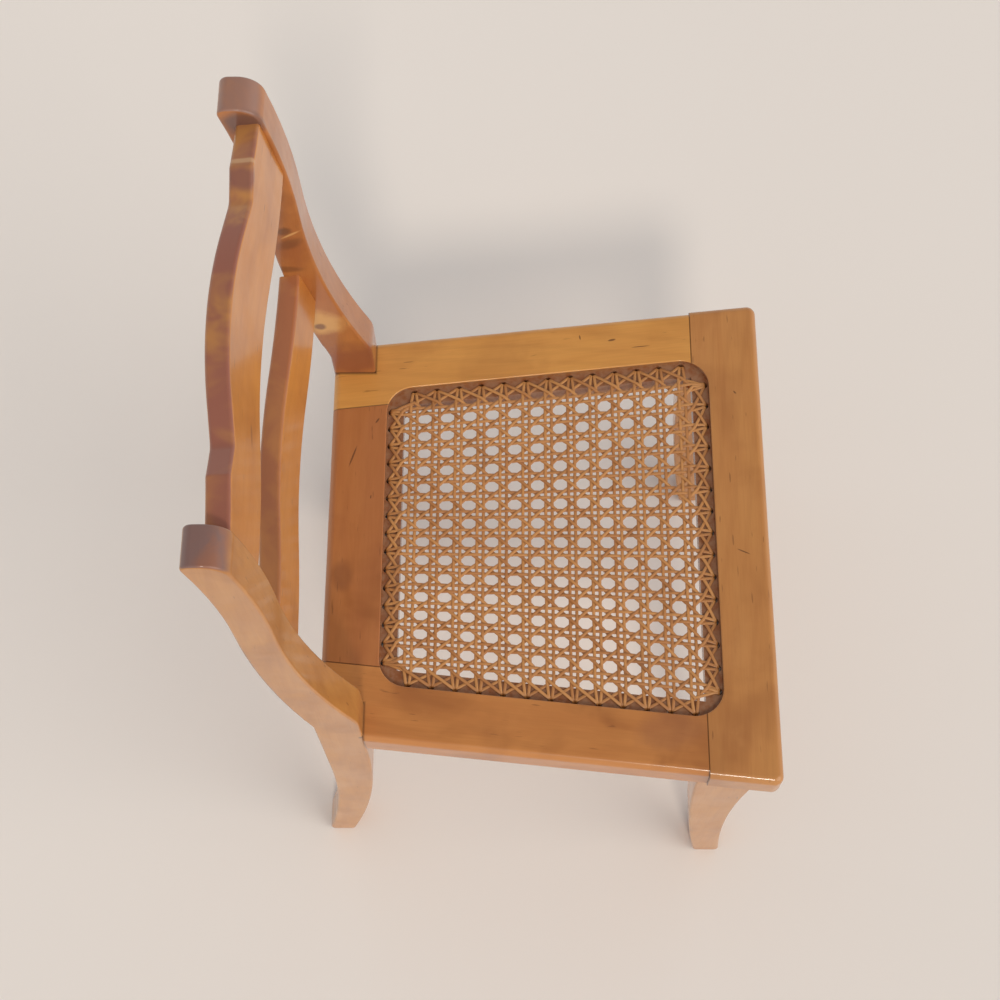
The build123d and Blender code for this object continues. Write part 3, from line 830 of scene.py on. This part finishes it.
def makeStrandTree():
    # sweeps a flat strand with rounded edges along every line of the mesh it is given
    tree = bpy.data.node_groups.new("flatStrands", "GeometryNodeTree")
    face = tree.interface
    face.new_socket("Lines", in_out="INPUT", socket_type="NodeSocketGeometry")
    for label in ("Width", "Thickness"):
        face.new_socket(label, in_out="INPUT", socket_type="NodeSocketFloat")
    for label in ("Corner Steps", "Seed"):
        face.new_socket(label, in_out="INPUT", socket_type="NodeSocketInt")
    face.new_socket("Material", in_out="INPUT", socket_type="NodeSocketMaterial")
    face.new_socket("Strands", in_out="OUTPUT", socket_type="NodeSocketGeometry")
    given = addNode(tree, "NodeGroupInput").outputs

    # the lines as curves, flat side up, each with its length so far and a tone of its own
    curves = addNode(tree, "GeometryNodeMeshToCurve", {"Mesh": given["Lines"]}).outputs[0]
    length = addNode(tree, "GeometryNodeSplineParameter").outputs["Length"]
    curves = keepAs(tree, curves, "along", length, "POINT")
    number = addNode(tree, "GeometryNodeInputIndex").outputs[0]
    chance = addNode(tree, "FunctionNodeRandomValue", data_type="FLOAT")
    tree.links.new(number, chance.inputs["ID"])
    tree.links.new(given["Seed"], chance.inputs["Seed"])
    curves = keepAs(tree, curves, "tone", chance.outputs[1], "CURVE")
    curves = addNode(tree, "GeometryNodeSetCurveNormal", {"Curve": curves}, mode="Z_UP").outputs[0]

    # the strand's cross-section, with its place from edge to edge
    sides = {"Width": given["Width"], "Height": given["Thickness"]}
    ring = addNode(tree, "GeometryNodeCurvePrimitiveQuadrilateral", sides).outputs[0]
    radius = times(tree, given["Thickness"], cane["cornerShare"])
    corner = {"Curve": ring, "Radius": radius, "Count": given["Corner Steps"]}
    ring = addNode(tree, "GeometryNodeFilletCurve", corner, mode="POLY").outputs[0]
    sideways = axesOf(tree, addNode(tree, "GeometryNodeInputPosition").outputs[0])[0]
    across = math2(tree, "DIVIDE", times(tree, sideways, 2.0), given["Width"])
    ring = keepAs(tree, ring, "across", across, "POINT")

    sweep = {"Curve": curves, "Profile Curve": ring, "Fill Caps": True}
    swept = addNode(tree, "GeometryNodeCurveToMesh", sweep).outputs[0]
    swept = addNode(tree, "GeometryNodeSetShadeSmooth", {"Geometry": swept}).outputs[0]
    swept = addNode(tree, "GeometryNodeRealizeInstances", {"Geometry": swept}).outputs[0]
    skin = {"Geometry": swept, "Material": given["Material"]}
    swept = addNode(tree, "GeometryNodeSetMaterial", skin).outputs[0]
    addNode(tree, "NodeGroupOutput", {"Strands": swept})
    return tree


def sweepStrands(name, strands, tree, material):
    # the strands as one mesh, in place of the CAD's flat net
    points = []
    edges = []
    for strand in strands:
        first = len(points)
        points += [tuple(point) for point in strand]
        edges += [(first + i, first + i + 1) for i in range(len(strand) - 1)]
    lines = bpy.data.meshes.new(name + "_lines")
    lines.from_pydata(points, edges, [])
    carrier = bpy.data.objects.new(name + "_lines", lines)
    scene.collection.objects.link(carrier)
    sweep = carrier.modifiers.new("strands", "NODES")
    sweep.node_group = tree
    given = {
        "Width": cane["strandWidth"],
        "Thickness": cane["strandThickness"],
        "Corner Steps": cane["cornerSteps"],
        "Seed": cane["toneSeeds"][name],
        "Material": material,
    }
    for item in tree.interface.items_tree:
        if item.item_type == "SOCKET" and item.in_out == "INPUT" and item.name in given:
            sweep[item.identifier] = given[item.name]
    graph = bpy.context.evaluated_depsgraph_get()
    swept = carrier.evaluated_get(graph)
    mesh = bpy.data.meshes.new_from_object(swept, preserve_all_data_layers=True, depsgraph=graph)
    mesh.name = name
    carrier.modifiers.remove(sweep)
    bpy.data.objects.remove(carrier)
    piece = bpy.data.objects.new(name, mesh)
    scene.collection.objects.link(piece)
    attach(piece, "root")
    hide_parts("cane_seat")
    print(name, len(strands), "strands,", len(mesh.polygons), "faces")


caneLook = {
    "straw": (0.570, 0.255, 0.074),
    "tan": (0.440, 0.175, 0.047),
    "brown": (0.250, 0.092, 0.025),
    "fibreStretch": (60.0, 4.0, 50.0),  # along a strand, across it, from strand to strand
    "fibreScale": 1.6,
    "fibreDepth": 0.45,
    "edgeDepth": 0.35,
    "patchScale": 55.0,
    "patchDepth": 0.5,
    "dentStrength": 0.3,
    "dentDepth": 0.00015,
    "coat": 0.25,
    "coatRoughness": 0.25,
}


def makeCaneSkin(look):
    material, tree, shader, coords = newMaterial("caneSkin", look["straw"])
    along, across, tone = (addNode(tree, "ShaderNodeAttribute", attribute_name=name).outputs["Fac"]
                           for name in ("along", "across", "tone"))
    stretched = {}
    for axis, value in enumerate((along, across, tone)):
        stretched[axis] = times(tree, value, look["fibreStretch"][axis])
    threads = addNode(tree, "ShaderNodeCombineXYZ", stretched).outputs[0]
    fibre = noise(tree, threads, look["fibreScale"], 3.0, 0.6)
    patch = noise(tree, coords, look["patchScale"], 3.0, 0.55)
    colour = mixColour(tree, ramp(tree, tone, 0.0, 1.0), look["straw"], look["tan"])
    colour = blend(tree, colour, ramp(tree, fibre, 0.35, 0.75), look["fibreDepth"], look["tan"])
    edge = ramp(tree, math2(tree, "ABSOLUTE", across), 0.55, 1.0)
    colour = blend(tree, colour, edge, look["edgeDepth"], look["brown"])
    colour = blend(tree, colour, ramp(tree, patch, 0.5, 0.8), look["patchDepth"], look["brown"])
    relief = {"Strength": look["dentStrength"], "Distance": look["dentDepth"], "Height": fibre}
    bump = addNode(tree, "ShaderNodeBump", relief)
    tree.links.new(colour, shader.inputs["Base Color"])
    tree.links.new(bump.outputs[0], shader.inputs["Normal"])
    tree.links.new(ramp(tree, fibre, 0.2, 0.8, 0.38, 0.60), shader.inputs["Roughness"])
    shader.inputs["Coat Weight"].default_value = look["coat"]
    shader.inputs["Coat Roughness"].default_value = look["coatRoughness"]
    return material


caneSkin = makeCaneSkin(caneLook)
strandTree = makeStrandTree()
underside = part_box("front_seat_rail")[0].z
rowLines = range(-halfRows + 1, halfRows)
columnLines = range(1, columns)
sweepStrands("cane_front_to_rear", pairStrands(rowLines, columns, "v"), strandTree, caneSkin)
sweepStrands("cane_side_to_side", pairStrands(columnLines, cane["rows"], "u"), strandTree, caneSkin)
sweepStrands("cane_diagonals", diagonalStrands(1) + diagonalStrands(-1), strandTree, caneSkin)
sweepStrands("cane_loops_below", loopsBelow(underside), strandTree, caneSkin)
